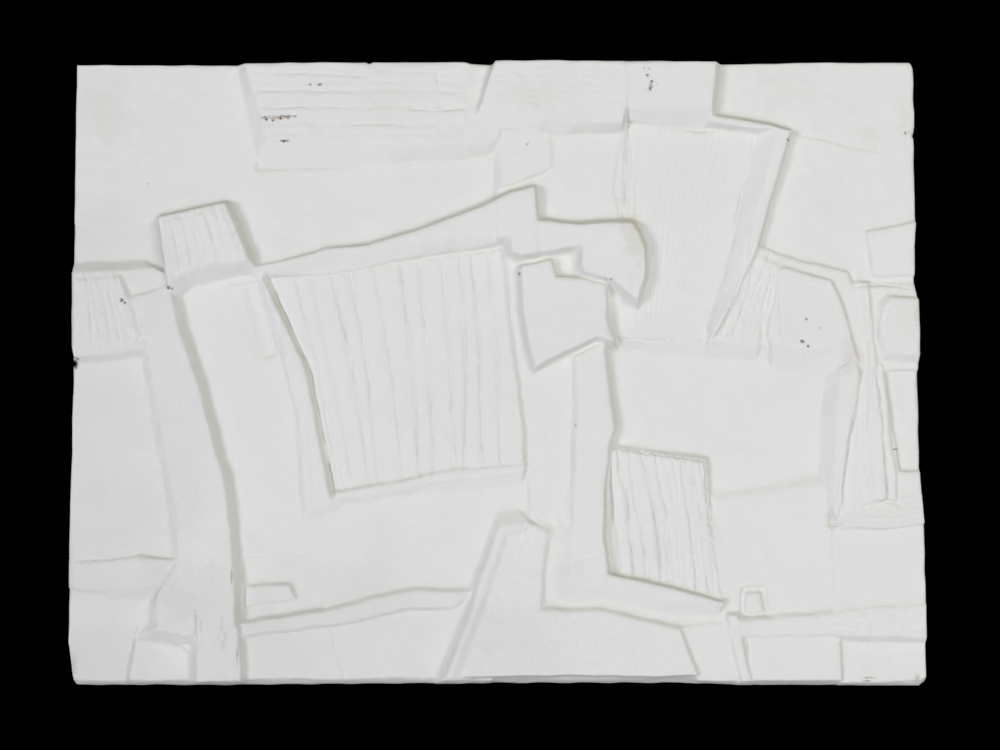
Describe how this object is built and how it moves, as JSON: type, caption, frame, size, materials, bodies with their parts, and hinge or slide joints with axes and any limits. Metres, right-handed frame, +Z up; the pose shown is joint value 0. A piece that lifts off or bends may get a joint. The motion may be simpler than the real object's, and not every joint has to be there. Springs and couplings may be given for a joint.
{
  "type": "plaster bas-relief panel",
  "caption": "Cast plaster wall panel in low relief, with plain, ribbed and hatched fields at many heights and a flat back.",
  "frame": {"origin": "middle of the flat back face, where the panel is fixed to a wall", "axes": "+X to the right across the panel, +Z up, the carved face looks along -Y"},
  "size_m": [0.6024, 0.0396, 0.4446],
  "materials": {
    "plaster": "matte off-white cast plaster, faintly stained"
  },
  "bodies": {
    "root": {"relief_panel": "plaster"}
  },
  "joints": []
}
